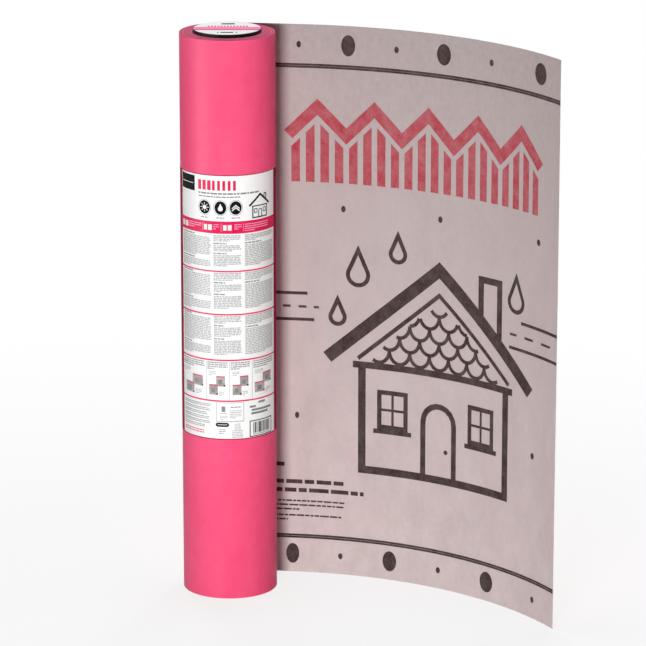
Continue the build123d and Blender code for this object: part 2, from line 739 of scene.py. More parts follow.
@dataclass(frozen=True)
class WebRoute:
    """The way of the web's free end, seen from above.

    Attributes:
        radius: The roll's radius.
        length: The web's width, which is the roll's height.
        thickness: The web's thickness.
        leave: The angle past the back of the roll at which the web leaves it.
        flat_run: The straight stretch.
        bend_radius: The radius of the bend, at the outer face.
        bend_turn: The angle of the bend.
        ripple: The height of the web's slight waves.
    """

    radius: float
    length: float
    thickness: float = 0.6 * MM
    leave: float = math.radians(7.8)
    flat_run: float = 120.0 * MM
    bend_radius: float = 623.0 * MM
    bend_turn: float = math.radians(54.6)
    ripple: float = 0.5 * MM

    @property
    def run(self) -> float:
        """The free end's length from where it leaves the roll."""
        return self.flat_run + self.bend_radius * self.bend_turn

    def wave(self, run: float, height: float) -> float:
        """Gives the web's slight waves, which fade out towards the roll.

        Args:
            run: The distance along the web from where it leaves the roll.
            height: The height over the floor.

        Returns:
            How far the web stands out of its even bend.
        """
        share = min(max(run / self.flat_run, 0.0), 1.0)
        slow = math.sin(11.0 * run + 2.3 * height) * math.sin(4.1 * height + 0.7)
        return self.ripple * share * slow

    def place(self, run: float, height: float, lift: float) -> Vector:
        """Lays a flat point on the printed face.

        Args:
            run: The distance along the web from where it leaves the roll.
            height: The height over the floor.
            lift: The distance in front of the printed face.

        Returns:
            The point in space.
        """
        raised = lift + self.wave(run, height)
        outward = Vector((math.sin(self.leave), math.cos(self.leave), 0.0))
        heading = Vector((math.cos(self.leave), -math.sin(self.leave), 0.0))
        start = outward * (self.radius - self.thickness)
        if run <= self.flat_run:
            spot = start + heading * run - outward * raised
        else:
            turned = -(run - self.flat_run) / self.bend_radius
            inner = self.bend_radius - self.thickness
            centre = start + heading * self.flat_run - outward * inner
            arm = outward * (inner - raised)
            arm.rotate(Matrix.Rotation(turned, 3, "Z"))
            spot = centre + arm
        spot.z = height
        return spot


@dataclass(frozen=True)
class RollFace:
    """The curved face of the roll's front.

    Attributes:
        radius: The face's radius.
    """

    radius: float

    def place(self, across: float, height: float, lift: float) -> Vector:
        """Lays a flat point on the roll's front.

        Args:
            across: The distance round the roll from its front line, towards +X.
            height: The height over the floor.
            lift: The distance in front of the face.

        Returns:
            The point in space.
        """
        angle = across / self.radius
        reach = self.radius + lift
        return Vector((reach * math.sin(angle), -reach * math.cos(angle), height))


def arc_points(
    x: float, y: float, wide: float, tall: float, start: float, stop: float, count: int
) -> list[tuple[float, float]]:
    """Gives evenly turned points on an oval.

    Args:
        x: The oval's middle across.
        y: The oval's middle height.
        wide: Half its width.
        tall: Half its height.
        start: The first point's angle, in degrees.
        stop: The last point's angle, in degrees.
        count: The number of steps between them.

    Returns:
        The points in order.
    """
    turns = [math.radians(start + (stop - start) * step / count) for step in range(count + 1)]
    return [(x + wide * math.cos(turn), y + tall * math.sin(turn)) for turn in turns]


class FlatShapes:
    """Shapes drawn flat, in metres, and then laid on a face of the object."""

    def __init__(self) -> None:
        """Starts with nothing drawn."""
        self.mesh = bmesh.new()

    def panel(self, left: float, bottom: float, right: float, top: float) -> None:
        """Draws a filled rectangle.

        Args:
            left: Its left side.
            bottom: Its lower side.
            right: Its right side.
            top: Its upper side.
        """
        centre = Matrix.Translation(((left + right) / 2, (bottom + top) / 2, 0.0))
        size = Matrix.Diagonal((right - left, top - bottom, 1.0, 1.0))
        bmesh.ops.create_grid(self.mesh, x_segments=1, y_segments=1, size=0.5, matrix=centre @ size)

    def dot(self, across: float, height: float, wide: float, tall: float, corners: int = 28) -> None:
        """Draws a filled round or oval dot.

        Args:
            across: Its centre across.
            height: Its centre's height.
            wide: Its full width.
            tall: Its full height.
            corners: The number of its outline's points.
        """
        centre = Matrix.Translation((across, height, 0.0))
        size = Matrix.Diagonal((wide / 2, tall / 2, 1.0, 1.0))
        bmesh.ops.create_circle(self.mesh, cap_ends=True, segments=corners, radius=1.0, matrix=centre @ size)

    def outline(self, points: Sequence[tuple[float, float]]) -> None:
        """Fills a flat outline.

        Args:
            points: The outline's corners in order.
        """
        corners = [self.mesh.verts.new((x, y, 0.0)) for x, y in points]
        bmesh.ops.contextual_create(self.mesh, geom=corners)

    def stroke(self, points: Sequence[tuple[float, float]], width: float, closed: bool = False) -> None:
        """Draws a line of even width with mitred corners.

        Args:
            points: The line's middle.
            width: The line's width.
            closed: True if the end joins the start.
        """
        sharpest = 0.35
        middle = [Vector((x, y, 0.0)) for x, y in points]
        count = len(middle)
        stations = list(range(count)) + ([0] if closed else [])
        for step, index in enumerate(stations):
            before = middle[index - 1] if closed or index > 0 else middle[index]
            after = middle[(index + 1) % count] if closed or index < count - 1 else middle[index]
            into = (middle[index] - before).normalized()
            out = (after - middle[index]).normalized()
            along = (into + out).normalized()
            side = Vector((-along.y, along.x, 0.0))
            reference = out if out.length > 0 else into
            spread = max(abs(reference.x * along.x + reference.y * along.y), sharpest)
            offset = side * (width / 2 / spread)
            rails = (middle[index] + offset, middle[index] - offset)
            if step == 0:
                edge = self.mesh.edges.new([self.mesh.verts.new(spot) for spot in rails])
                continue
            pushed = bmesh.ops.extrude_edge_only(self.mesh, edges=[edge])["geom"]
            edge = next(item for item in pushed if isinstance(item, bmesh.types.BMEdge))
            ends = [item for item in pushed if isinstance(item, bmesh.types.BMVert)]
            for end, spot in zip(ends, rails):
                end.co = spot

    def slice(self, step: float) -> None:
        """Cuts the shapes upright at even steps, so that they can bend.

        Args:
            step: The width between two cuts.
        """
        spots = [vert.co.x for vert in self.mesh.verts]
        station = math.ceil(min(spots) / step) * step
        while station < max(spots):
            everything = self.mesh.verts[:] + self.mesh.edges[:] + self.mesh.faces[:]
            bmesh.ops.bisect_plane(
                self.mesh, geom=everything, dist=1e-6, plane_co=(station, 0.0, 0.0), plane_no=(1.0, 0.0, 0.0)
            )
            station += step

    def lay(self, place: Place, lift: float, thickness: float) -> bmesh.types.BMesh:
        """Gives the shapes a thickness and lays them on a face.

        Args:
            place: The face's own rule from flat to space.
            lift: The gap between the face and the shapes' back.
            thickness: The shapes' thickness.

        Returns:
            The laid mesh.
        """
        mesh = self.mesh
        bmesh.ops.remove_doubles(mesh, verts=mesh.verts[:], dist=1e-7)
        bmesh.ops.recalc_face_normals(mesh, faces=mesh.faces[:])
        for face in mesh.faces:
            if face.normal.z < 0:
                face.normal_flip()
        pushed = bmesh.ops.extrude_face_region(mesh, geom=mesh.faces[:], use_keep_orig=True)["geom"]
        top = [item for item in pushed if isinstance(item, bmesh.types.BMVert)]
        bmesh.ops.translate(mesh, verts=top, vec=(0.0, 0.0, thickness))
        bmesh.ops.recalc_face_normals(mesh, faces=mesh.faces[:])
        for vert in mesh.verts:
            vert.co = place(vert.co.x, vert.co.y, vert.co.z + lift)
        return mesh


@dataclass
class WoundRoll:
    """The wound felt: one turned body with its bore, its turns standing a little uneven.

    Attributes:
        radius: The roll's radius.
        bore: The bore's radius.
        height: The roll's height.
        seat: The radius of the wider seat at the bore's top.
        seat_depth: The seat's depth.
        steps: The number of facets round it.
        edge: The rounding of the outer rim.
        seed: The start of the turns' unevenness.
    """

    radius: float
    bore: float
    height: float
    seat: float
    seat_depth: float
    steps: int = 180
    edge: float = 0.6 * MM
    seed: int = 7

    def end_profile(self) -> list[tuple[float, float]]:
        """Gives one end's section from the bore out.

        Returns:
            Each turn's radius and how far it is sunk.
        """
        draw = random.Random(self.seed)
        points = [(self.bore, 0.3 * MM)]
        radius = self.bore + 0.8 * MM
        while radius < self.radius - 2.4 * MM:
            width = draw.uniform(1.0, 2.2) * MM
            sunk = draw.uniform(0.0, 0.25) * MM
            points.append((radius, sunk + 0.2 * MM))
            points.append((radius + 0.3 * width, sunk))
            points.append((radius + 0.75 * width, sunk + 0.05 * MM))
            radius += width
        points.append((self.radius - 2.0 * MM, 0.5 * MM))
        points.append((self.radius - 1.6 * MM, 0.0))
        points.append((self.radius - self.edge, 0.0))
        points.append((self.radius - 0.3 * self.edge, 0.3 * self.edge))
        points.append((self.radius, self.edge))
        return points

    def build(self) -> bpy.types.Object:
        """Turns the section about the roll's axis.

        Returns:
            The roll.
        """
        section = self.end_profile()
        lower = [(radius, sunk) for radius, sunk in section]
        upper = [(radius, self.height - sunk) for radius, sunk in reversed(section[1:])]
        foot = self.height - self.seat_depth
        upper += [(self.seat, self.height - section[0][1]), (self.seat, foot), (self.bore, foot)]
        mesh = bmesh.new()
        profile = [mesh.verts.new((radius, 0.0, level)) for radius, level in lower + upper]
        edges = [mesh.edges.new(pair) for pair in zip(profile, profile[1:] + profile[:1])]
        bmesh.ops.spin(
            mesh,
            geom=profile + edges,
            cent=(0.0, 0.0, 0.0),
            axis=(0.0, 0.0, 1.0),
            angle=math.tau,
            steps=self.steps,
            use_merge=True,
        )
        bmesh.ops.remove_doubles(mesh, verts=mesh.verts[:], dist=1e-6)
        bmesh.ops.recalc_face_normals(mesh, faces=mesh.faces[:])
        self.number_faces(mesh)
        self.map_run(mesh)
        roll = adopt(mesh, "wound_roll", (OUTER_FACE, CUT_TURNS), Slot.FELT, 25.0)
        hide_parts("felt_roll")
        return roll

    def number_faces(self, mesh: bmesh.types.BMesh) -> None:
        """Gives the ends and the bore the cut turns' finish.

        Args:
            mesh: The roll.
        """
        for face in mesh.faces:
            spot = face.calc_center_median()
            reach = math.hypot(spot.x, spot.y)
            side = reach > self.radius - self.edge and abs(face.normal.z) < 0.9
            face.material_index = 0 if side else 1

    def map_run(self, mesh: bmesh.types.BMesh) -> None:
        """Gives each face corner its distance round the roll and its height.

        Args:
            mesh: The roll.
        """
        layer = mesh.loops.layers.uv.new(RUN_MAP)
        for face in mesh.faces:
            spot = face.calc_center_median()
            middle = math.atan2(spot.x, -spot.y)
            for loop in face.loops:
                angle = math.atan2(loop.vert.co.x, -loop.vert.co.y)
                if angle - middle > math.pi:
                    angle -= math.tau
                if middle - angle > math.pi:
                    angle += math.tau
                loop[layer].uv = (angle * self.radius, loop.vert.co.z)


@dataclass
class FreeEnd:
    """The unrolled stretch of the web.

    Attributes:
        route: The way that it takes.
        run_steps: The number of facets along it.
        height_steps: The number of facets up it.
    """

    route: WebRoute
    run_steps: int = 144
    height_steps: int = 48

    def build(self) -> bpy.types.Object:
        """Makes the web flat, gives it its thickness and bends it along its route.

        Returns:
            The free end.
        """
        route = self.route
        mesh = bmesh.new()
        size = Matrix.Diagonal((route.run, route.length, 1.0, 1.0))
        middle = Matrix.Translation((route.run / 2, route.length / 2, 0.0))
        bmesh.ops.create_grid(
            mesh, x_segments=self.run_steps, y_segments=self.height_steps, size=0.5, matrix=middle @ size
        )
        pushed = bmesh.ops.extrude_face_region(mesh, geom=mesh.faces[:], use_keep_orig=True)["geom"]
        back = [item for item in pushed if isinstance(item, bmesh.types.BMVert)]
        bmesh.ops.translate(mesh, verts=back, vec=(0.0, 0.0, -route.thickness))
        bmesh.ops.recalc_face_normals(mesh, faces=mesh.faces[:])
        layer = mesh.loops.layers.uv.new(RUN_MAP)
        for face in mesh.faces:
            face.material_index = 1 if face.normal.z > -0.5 else 0
            for loop in face.loops:
                loop[layer].uv = loop.vert.co.xy
        for vert in mesh.verts:
            vert.co = route.place(*vert.co)
        sheet = adopt(mesh, "free_end", (OUTER_FACE, INNER_FACE), Slot.FELT)
        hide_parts("felt_roll")
        return sheet


@dataclass
class Emblem:
    """A line drawing of a gabled house in the rain, the print's generic motif.

    Attributes:
        across: The middle of the drawing.
        height: The height of the eaves.
        scale: The size of one drawing unit, in metres.
        weight: The factor on every line's width.
        fine: True for the lines that only a large drawing has room for.
    """

    across: float
    height: float
    scale: float = MM
    weight: float = 1.0
    fine: bool = True

    def draw(self, shapes: FlatShapes) -> None:
        """Draws the roof, the walls and the rain.

        Args:
            shapes: What is drawn into.
        """
        self.line(shapes, [(-228, -6), (0, 186), (228, -6)], 24)
        self.line(shapes, [(-178, -16), (178, -16)], 13)
        self.line(shapes, [(-160, -16), (-160, -222), (160, -222), (160, -16)], 15)
        self.line(shapes, [(96, 116), (96, 184), (142, 184), (142, 78)], 13)
        self.door(shapes)
        for side in (-1, 1):
            self.window(shapes, 98 * side, -100)
        if self.fine:
            self.line(shapes, [(-168, -4), (0, 137), (168, -4)], 8)
            self.scales(shapes)
            for x, y, size in ((-168, 158, 20), (-88, 205, 15), (186, 158, 19), (-208, 74, 14)):
                self.drop(shapes, x, y, size)

    def line(
        self, shapes: FlatShapes, points: Sequence[tuple[float, float]], width: float, closed: bool = False
    ) -> None:
        """Draws one line in drawing units.

        Args:
            shapes: What is drawn into.
            points: The line's middle.
            width: The line's width before the weight's factor.
            closed: True if the end joins the start.
        """
        placed = [(self.across + x * self.scale, self.height + y * self.scale) for x, y in points]
        shapes.stroke(placed, width * self.weight * self.scale, closed)

    def door(self, shapes: FlatShapes) -> None:
        """Draws the arched door and its handle.

        Args:
            shapes: What is drawn into.
        """
        arch = arc_points(0, -112, 34, 34, 180, 0, 9)
        self.line(shapes, [(-34, -222), *arch, (34, -222)], 11)
        if self.fine:
            knob = 9 * MM
            shapes.dot(self.across + 16 * self.scale, self.height - 165 * self.scale, knob, knob, 16)

    def window(self, shapes: FlatShapes, x: float, y: float) -> None:
        """Draws one window with its bars.

        Args:
            shapes: What is drawn into.
            x: The window's middle.
            y: The window's middle height.
        """
        half, rise = 27, 34
        frame_line = [(x - half, y - rise), (x + half, y - rise), (x + half, y + rise), (x - half, y + rise)]
        self.line(shapes, frame_line, 9, True)
        if self.fine:
            self.line(shapes, [(x, y - rise), (x, y + rise)], 5)
            self.line(shapes, [(x - half, y), (x + half, y)], 5)
            self.line(shapes, [(x - half - 12, y - rise - 9), (x + half + 12, y - rise - 9)], 9)

    def scales(self, shapes: FlatShapes) -> None:
        """Fills the gable with courses of round-ended shingles, cut off along the roof.

        Args:
            shapes: What is drawn into.
        """
        width, depth, course, lowest = 42.0, 25.0, 26.0, 17.0
        for row in range(5):
            level = lowest + course * row
            for step in range(-5, 6):
                middle = (step + 0.5 * (row % 2)) * width
                arc = arc_points(middle, level, width / 2, depth, 180, 360, 10)
                kept = [(x, y) for x, y in arc if abs(x) < 160.0 * (128.0 - y) / 138.0 - 4.0]
                if len(kept) > 3:
                    self.line(shapes, kept, 7)

    def drop(self, shapes: FlatShapes, x: float, y: float, size: float) -> None:
        """Draws the outline of a raindrop.

        Args:
            shapes: What is drawn into.
            x: The drop's middle.
            y: The middle of the drop's round end.
            size: The radius of the round end.
        """
        round_end = arc_points(x, y, size, size, 145, 395, 14)
        self.line(shapes, [*round_end, (x, y + 2.4 * size)], 8, True)


@dataclass
class WebPrint:
    """The print on the web's inner face.

    Attributes:
        route: The web's way.
        film: The thickness of the ink.
        lift: The gap between the web and the ink.
        lap_heights: The heights of the two lap lines.
        lap_line: The width of one of a lap line's two strokes.
        lap_gap: The narrow gap between them.
        guide_lines: The start, the stop and the height of each of the middle guide's lines.
        guide_line: The width of those lines.
        guide_dashes: The start, the stop and the height of each dash between them.
        guide_dash: The width of the dashes.
        emblem_run: The emblem's place along the web.
        emblem_height: The height of its eaves.
        bend_step: The width between two cuts across the ink.
    """

    route: WebRoute
    film: float = 0.05 * MM
    lift: float = 0.1 * MM
    lap_heights: tuple[float, float] = (989.0 * MM, 72.0 * MM)
    lap_line: float = 4.0 * MM
    lap_gap: float = 0.4 * MM
    guide_lines: tuple[tuple[float, float, float], ...] = (
        (0.0, 136.0, 552.5),
        (0.0, 149.0, 501.5),
        (602.0, 713.7, 557.0),
        (570.0, 713.7, 506.0),
    )
    guide_line: float = 6.0 * MM
    guide_dashes: tuple[tuple[float, float, float], ...] = (
        (89.0, 104.0, 527.0),
        (119.0, 134.0, 526.5),
        (148.0, 158.0, 526.0),
        (572.0, 590.0, 531.5),
        (612.0, 637.0, 531.5),
        (662.0, 691.0, 531.5),
    )
    guide_dash: float = 4.6 * MM
    emblem_run: float = 402.0 * MM
    emblem_height: float = 436.0 * MM
    bend_step: float = 12.0 * MM

    def build(self) -> list[bpy.types.Object]:
        """Draws the print in its two inks.

        Returns:
            The two inks' pieces.
        """
        dark, red = FlatShapes(), FlatShapes()
        self.lap_lines(dark)
        self.large_dots(dark)
        self.small_dots(dark)
        self.guide(dark)
        self.notes(dark)
        Emblem(self.emblem_run, self.emblem_height).draw(dark)
        self.roofline(red)
        pieces = []
        for name, shapes, finish in (("web_print_dark", dark, WEB_DARK), ("web_print_red", red, WEB_RED)):
            shapes.slice(self.bend_step)
            laid = shapes.lay(self.route.place, self.lift, self.film)
            pieces.append(adopt(laid, name, (finish,), Slot.FELT))
        return pieces

    def lap_lines(self, shapes: FlatShapes) -> None:
        """Draws the double stroke that marks each overlap.

        Args:
            shapes: What is drawn into.
        """
        for height in self.lap_heights:
            for side in (-1, 1):
                middle = height + side * (self.lap_line + self.lap_gap) / 2
                shapes.panel(0.0, middle - self.lap_line / 2, self.route.run, middle + self.lap_line / 2)

    def large_dots(self, shapes: FlatShapes) -> None:
        """Draws the large nailing dots, which the web's bend spreads a little with the run.

        Args:
            shapes: What is drawn into.
        """
        for height, runs in ((1030.0, (214.0, 408.0, 650.0)), (37.0, (107.0, 299.0, 517.0))):
            for run in runs:
                wide, tall = 23.5 + 0.016 * run, 40.0
                shapes.dot(run * MM, height * MM, wide * MM, tall * MM, 40)

    def small_dots(self, shapes: FlatShapes) -> None:
        """Draws the small dots of the two edges and of the field.

        Args:
            shapes: What is drawn into.
        """
        rows = {
            1029.0: (24.0, 120.0, 309.0, 517.0),
            719.0: (205.0, 403.0, 650.0),
            313.0: (116.0, 640.0),
            36.0: (30.0, 200.0, 403.0, 645.0),
        }
        for height, runs in rows.items():
            for run in runs:
                wide, tall = 8.0 + 0.003 * run, 12.6
                shapes.dot(run * MM, height * MM, wide * MM, tall * MM, 20)

    def guide(self, shapes: FlatShapes) -> None:
        """Draws the middle guide: two lines with dashes between them.

        Args:
            shapes: What is drawn into.
        """
        for marks, weight in ((self.guide_lines, self.guide_line), (self.guide_dashes, self.guide_dash)):
            for start, stop, height in marks:
                end = min(stop * MM, self.route.run)
                shapes.panel(start * MM, height * MM - weight / 2, end, height * MM + weight / 2)

    def notes(self, shapes: FlatShapes) -> None:
        """Draws plain bars in the place of the small print at the foot.

        Args:
            shapes: What is drawn into.
        """
        draw = random.Random(11)
        bold, plain = 8.0 * MM, 3.2 * MM
        lines = (
            (211.0, 96.0, bold),
            (177.0, 206.0, bold),
            (160.0, 246.0, bold),
            (141.0, 208.0, plain),
            (132.5, 206.0, plain),
            (124.0, 120.0, plain),
            (112.0, 202.0, plain),
            (103.5, 98.0, plain),
        )
        start = 30.0 * MM
        for height, stop, tall in lines:
            run = start
            while run < stop * MM:
                end = min(run + draw.uniform(1.6, 5.5) * tall, stop * MM)
                shapes.panel(run, height * MM, end, height * MM + tall)
                run = end + tall * 0.55

    def roofline(self, shapes: FlatShapes) -> None:
        """Draws the red frieze: a line of gables over upright boards that follow its slope.

        Args:
            shapes: What is drawn into.
        """
        start, stop, foot = 100.0, 652.0, 768.0
        valley, rise, count, weight = 858.0, 54.0, 5, 22.0
        clear, cover = 28.0, 0.6
        half = (stop - start) / count / 2

        def eaves(run: float) -> float:
            """Gives the line's height at one place along the web."""
            share = abs(((run - start) / half) % 2.0 - 1.0)
            return valley + rise * (1.0 - share)

        corners = [(start + half * step, eaves(start + half * step)) for step in range(2 * count + 1)]
        shapes.stroke([(run * MM, height * MM) for run, height in corners], weight * MM)
        boards = 4 * count
        pitch = (stop - start) / boards
        for board in range(boards):
            left = start + pitch * (board + (1.0 - cover) / 2)
            right = left + cover * pitch
            tops = [(right, eaves(right) - clear), (left, eaves(left) - clear)]
            outline = [(left, foot), (right, foot), *tops]
            shapes.outline([(run * MM, height * MM) for run, height in outline])


@dataclass(frozen=True)
class Paragraph:
    """A block of plain bars in the place of small print, in millimetres on the flat label.

    Attributes:
        left: The lines' start.
        right: The lines' end.
        top: The height of the first line's upper side.
        lines: The number of lines.
        tone: The ink.
        tall: The bars' height.
        pitch: The distance from line to line.
    """

    left: float
    right: float
    top: float
    lines: int = 1
    tone: Tone = Tone.PALE
    tall: float = 2.2
    pitch: float = 3.15


@dataclass
class WrapLabel:
    """The paper label round the roll's front, with its print.

    Attributes:
        face: The roll's front face, at the label's back.
        bottom: The height of its lower edge.
        top: The height of its upper edge.
        half: Half the width of the printed part, measured round the roll.
        hem: The width of the hem beyond it on either side, printed in a darker crimson as painted shade.
        paper: The paper's thickness.
        film: The ink's thickness and its gap to the paper.
        bend_step: The width between two cuts across the ink.
        seed: The start of the words' lengths.
        inks: What is drawn in each ink.
    """

    face: RollFace
    bottom: float
    top: float
    half: float
    hem: float = 18.0 * MM
    paper: float = 0.3 * MM
    film: float = 0.04 * MM
    bend_step: float = 5.0 * MM
    seed: int = 3
    inks: dict[Tone, FlatShapes] = field(default_factory=dict)

    def build(self) -> list[bpy.types.Object]:
        """Makes the paper and its print.

        Returns:
            The paper and each ink's piece.
        """
        sheet = FlatShapes()
        reach = self.half + self.hem
        sheet.panel(-reach, self.bottom, reach, self.top)
        sheet.slice(self.bend_step / 2)
        laid = sheet.lay(self.face.place, 0.0, self.paper)
        paper = adopt(laid, "wrap_paper", (PAPER_WHITE,), Slot.PAPER)
        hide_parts("wrap_label")
        self.header()
        self.signs()
        self.bands()
        self.columns()
        self.laying_steps()
        self.footer()
        self.bar_pattern()
        pieces = [paper]
        for tone, shapes in self.inks.items():
            shapes.slice(self.bend_step)
            raised = self.film * INK_LAYERS.get(tone, PLAIN_LAYER)
            laid = shapes.lay(self.face.place, self.paper + raised, self.film)
            pieces.append(adopt(laid, f"wrap_print_{tone.name.lower()}", (LABEL_INKS[tone],), Slot.PAPER))
        return pieces

    def ink(self, tone: Tone) -> FlatShapes:
        """Gives the shapes of one ink."""
        return self.inks.setdefault(tone, FlatShapes())

    def block(self, tone: Tone, left: float, bottom: float, right: float, top: float) -> None:
        """Draws a plain block.

        Args:
            tone: The ink.
            left: Its left side, in millimetres.
            bottom: Its lower side, in millimetres.
            right: Its right side, in millimetres.
            top: Its upper side, in millimetres.
        """
        self.ink(tone).panel(left * MM, bottom * MM, right * MM, top * MM)

    def words(self, paragraph: Paragraph) -> None:
        """Draws a paragraph, its last line shorter than the rest.

        Args:
            paragraph: The paragraph.
        """
        draw = random.Random(self.seed + round(paragraph.left * 7 + paragraph.top * 3))
        reach = paragraph.right - paragraph.left
        for line in range(paragraph.lines):
            run = paragraph.left
            top = paragraph.top - line * paragraph.pitch
            last = line == paragraph.lines - 1 and paragraph.lines > 2
            stop = paragraph.right - reach * draw.uniform(0.3, 0.7) if last else paragraph.right
            stop -= draw.uniform(0.0, 0.05) * reach
            while run < stop:
                end = min(run + draw.uniform(1.2, 4.6) * paragraph.tall, stop)
                self.block(paragraph.tone, run, top - paragraph.tall, end, top)
                run = end + 0.5 * paragraph.tall

    def header(self) -> None:
        """Draws the plain corner block, the title bars, the lines under them and the small emblem."""
        self.block(Tone.BLACK, -105.5, 783.5, -65.0, 812.0)
        self.block(Tone.WHITE, -102.0, 797.0, -68.5, 798.2)
        first, pitch, foot, top = -56.8, 9.7, 788.0, 806.5
        bold, plain = 7.0, 5.2
        for index, wide in enumerate((bold,) * 3 + (plain,) * 5):
            left = first + pitch * index
            self.block(Tone.CRIMSON, left, foot, left + wide, top)
        self.words(Paragraph(-56.0, 69.0, 783.5, 1, Tone.TEXT, 3.0))
        self.words(Paragraph(-56.0, 28.0, 777.0, 1, Tone.TEXT, 2.2))
        Emblem(66.0 * MM, 757.5 * MM, 0.105 * MM, 1.5, False).draw(self.ink(Tone.BLACK))

    def signs(self) -> None:
        """Draws the three round signs: a sun, a drop and a roof, each white on black."""
        black, ring, white = self.ink(Tone.BLACK), self.ink(Tone.PALE), self.ink(Tone.WHITE)
        middles = (-43.0, -12.3, 16.0)
        height = 755.5 * MM
        reach = 8.0
        for middle in middles:
            around = arc_points(middle * MM, height, 12.8 * MM, 14.6 * MM, 0, 350, 35)
            ring.stroke(around, 1.2 * MM, True)
            black.dot(middle * MM, height, 22.0 * MM, 25.4 * MM, 32)
            self.words(Paragraph(middle - reach, middle + reach, 737.5, 1, Tone.TEXT, 1.8))
        sun, drop, roof = (middle * MM for middle in middles)
        white.dot(sun, height, 8.0 * MM, 8.0 * MM, 20)
        rays = 8
        starts, ends = (
            arc_points(sun, height, reach * MM, reach * MM, 0, 360, rays) for reach in (5.4, 8.4)
        )
        for ray in list(zip(starts, ends))[:rays]:
            white.stroke(ray, 1.3 * MM)
        round_end = arc_points(drop, height - 1.8 * MM, 4.6 * MM, 4.6 * MM, 140, 400, 14)
        white.outline([*round_end, (drop, height + 8.2 * MM)])
        for foot in (-4.6, -0.4):
            peak = foot + 5.2
            line = [(-7.0, foot - 0.8), (0.0, peak), (7.0, foot - 0.8)]
            white.stroke([(roof + x * MM, height + y * MM) for x, y in line], 2.0 * MM)

    def bands(self) -> None:
        """Draws the crimson band with its white marks, the thin rules and the side lines. The side lines,
        the hems and the lines along the top and the foot are printed lines in a darker crimson, darkened as
        painted shade.
        """
        edge, hem = self.half / MM, self.hem / MM
        foot, rim = self.bottom / MM, self.top / MM
        left_side, right_side = 3.6 - edge, edge - 1.2
        band_foot, band_top, rule = 706.8, 730.0, 2.8
        self.block(Tone.CRIMSON, -edge, band_foot, edge, band_top)
        for low in (633.9, 551.6, 464.1, 385.4):
            self.block(Tone.CRIMSON, left_side, low, right_side, low + rule)
        # Painted shade: the lines at the top and the foot, the side lines and the hems are a darker crimson
        # for the shade at the label's edges.
        for low, high in ((rim - 1.5, rim), (foot, foot + 1.8)):
            self.block(Tone.CRIMSON_WITH_PAINTED_SHADE, left_side, low, right_side, high)
        for left, right, inner in ((-edge - hem, -edge, left_side), (edge, edge + hem, right_side)):
            self.block(Tone.CRIMSON_WITH_PAINTED_SHADE, left, foot, right, rim)
            for low, high in ((foot, band_foot), (band_top, rim)):
                self.block(Tone.CRIMSON_WITH_PAINTED_SHADE, min(inner, right), low, max(inner, left), high)
        for left, wide in (
            (-104.0, 9.0),
            (-92.5, 8.5),
            (-44.5, 6.5),
            (-36.0, 7.5),
            (-7.5, 6.5),
            (1.0, 7.0),
        ):
            self.block(Tone.WHITE, left, 713.0, left + wide, 723.5)
        for left, right, lines in ((-81.0, -49.0, 3), (-25.5, -14.5, 3), (13.0, 27.0, 3), (33.0, 88.0, 4)):
            self.words(Paragraph(left, right, 724.5, lines, Tone.TINT, 1.6, 4.0))
        for spot in (-47.5, -11.5, 30.0):
            self.block(Tone.TINT, spot, 711.0, spot + 0.7, 726.0)

    def columns(self) -> None:
        """Draws the three sections of small print, each in three columns of headed paragraphs."""
        sections = ((704.0, 21), (632.5, 24), (550.5, 25))
        headed_shares = (0.68, 0.32)
        columns = (
            (-102.5, -30.5, headed_shares),
            (-26.0, 26.0, (0.27, 0.3, 0.43)),
            (33.0, 104.0, (0.3, 0.7)),
        )
        pitch = 3.15
        for section, (top, lines) in enumerate(sections):
            for left, right, shares in columns:
                height = top
                headed = shares is headed_shares
                for share in shares:
                    if headed:
                        reach = (right - left) * (0.5 - 0.06 * section)
                        self.words(Paragraph(left, left + reach, height, 1, Tone.TEXT, 2.4))
                        height -= 1.4 * pitch
                    count = round(share * lines - 1.9)
                    self.words(Paragraph(left, right, height, count))
                    height -= (count + 0.6) * pitch
                    headed = True

    def laying_steps(self) -> None:
        """Draws the four laying diagrams: two lapped sheets each, under lines of small print."""
        panels = (
            (-104.5, -44.0, 1.5, 0.0),
            (-39.5, 0.5, -1.5, 2.0),
            (5.0, 44.5, -1.5, 2.0),
            (49.0, 105.0, -4.0, 3.0),
        )
        for index, (left, right, aside, up) in enumerate(panels):
            self.words(Paragraph(left, right - 1.0, 461.5, 4, Tone.TEXT, 2.0, 3.9))
            self.words(Paragraph(left + 3.0, left + 0.42 * (right - left), 443.5, 3, Tone.PALE, 1.5, 3.0))
            wide, tall = (right - left) * 0.42, 20.0
            near = left + 0.12 * (right - left) + aside
            for shift, foot in ((0.0, 396.5 + up), (wide * 0.82, 413.0 + up)):
                start = near + shift
                self.block(Tone.GREY_CLOUD, start, foot, start + wide, foot + tall)
                self.block(Tone.CRIMSON, start + 0.6, foot + 17.6, start + wide - 0.6, foot + 19.4)
                self.block(Tone.TEXT, start + 0.25 * wide, foot + 4.0, start + 0.7 * wide, foot + 13.0)
                spot = self.ink(Tone.BLACK)
                spot.dot((start + wide - 1.2) * MM, (foot + 1.6) * MM, 3.6 * MM, 3.6 * MM, 12)
            self.words(Paragraph(near + 1.15 * wide, near + 1.75 * wide, 405.0, 3, Tone.PALE, 1.5, 3.2))
            if index < 3:
                self.block(Tone.PALE, right + 1.8, 389.0, right + 2.6, 462.0)

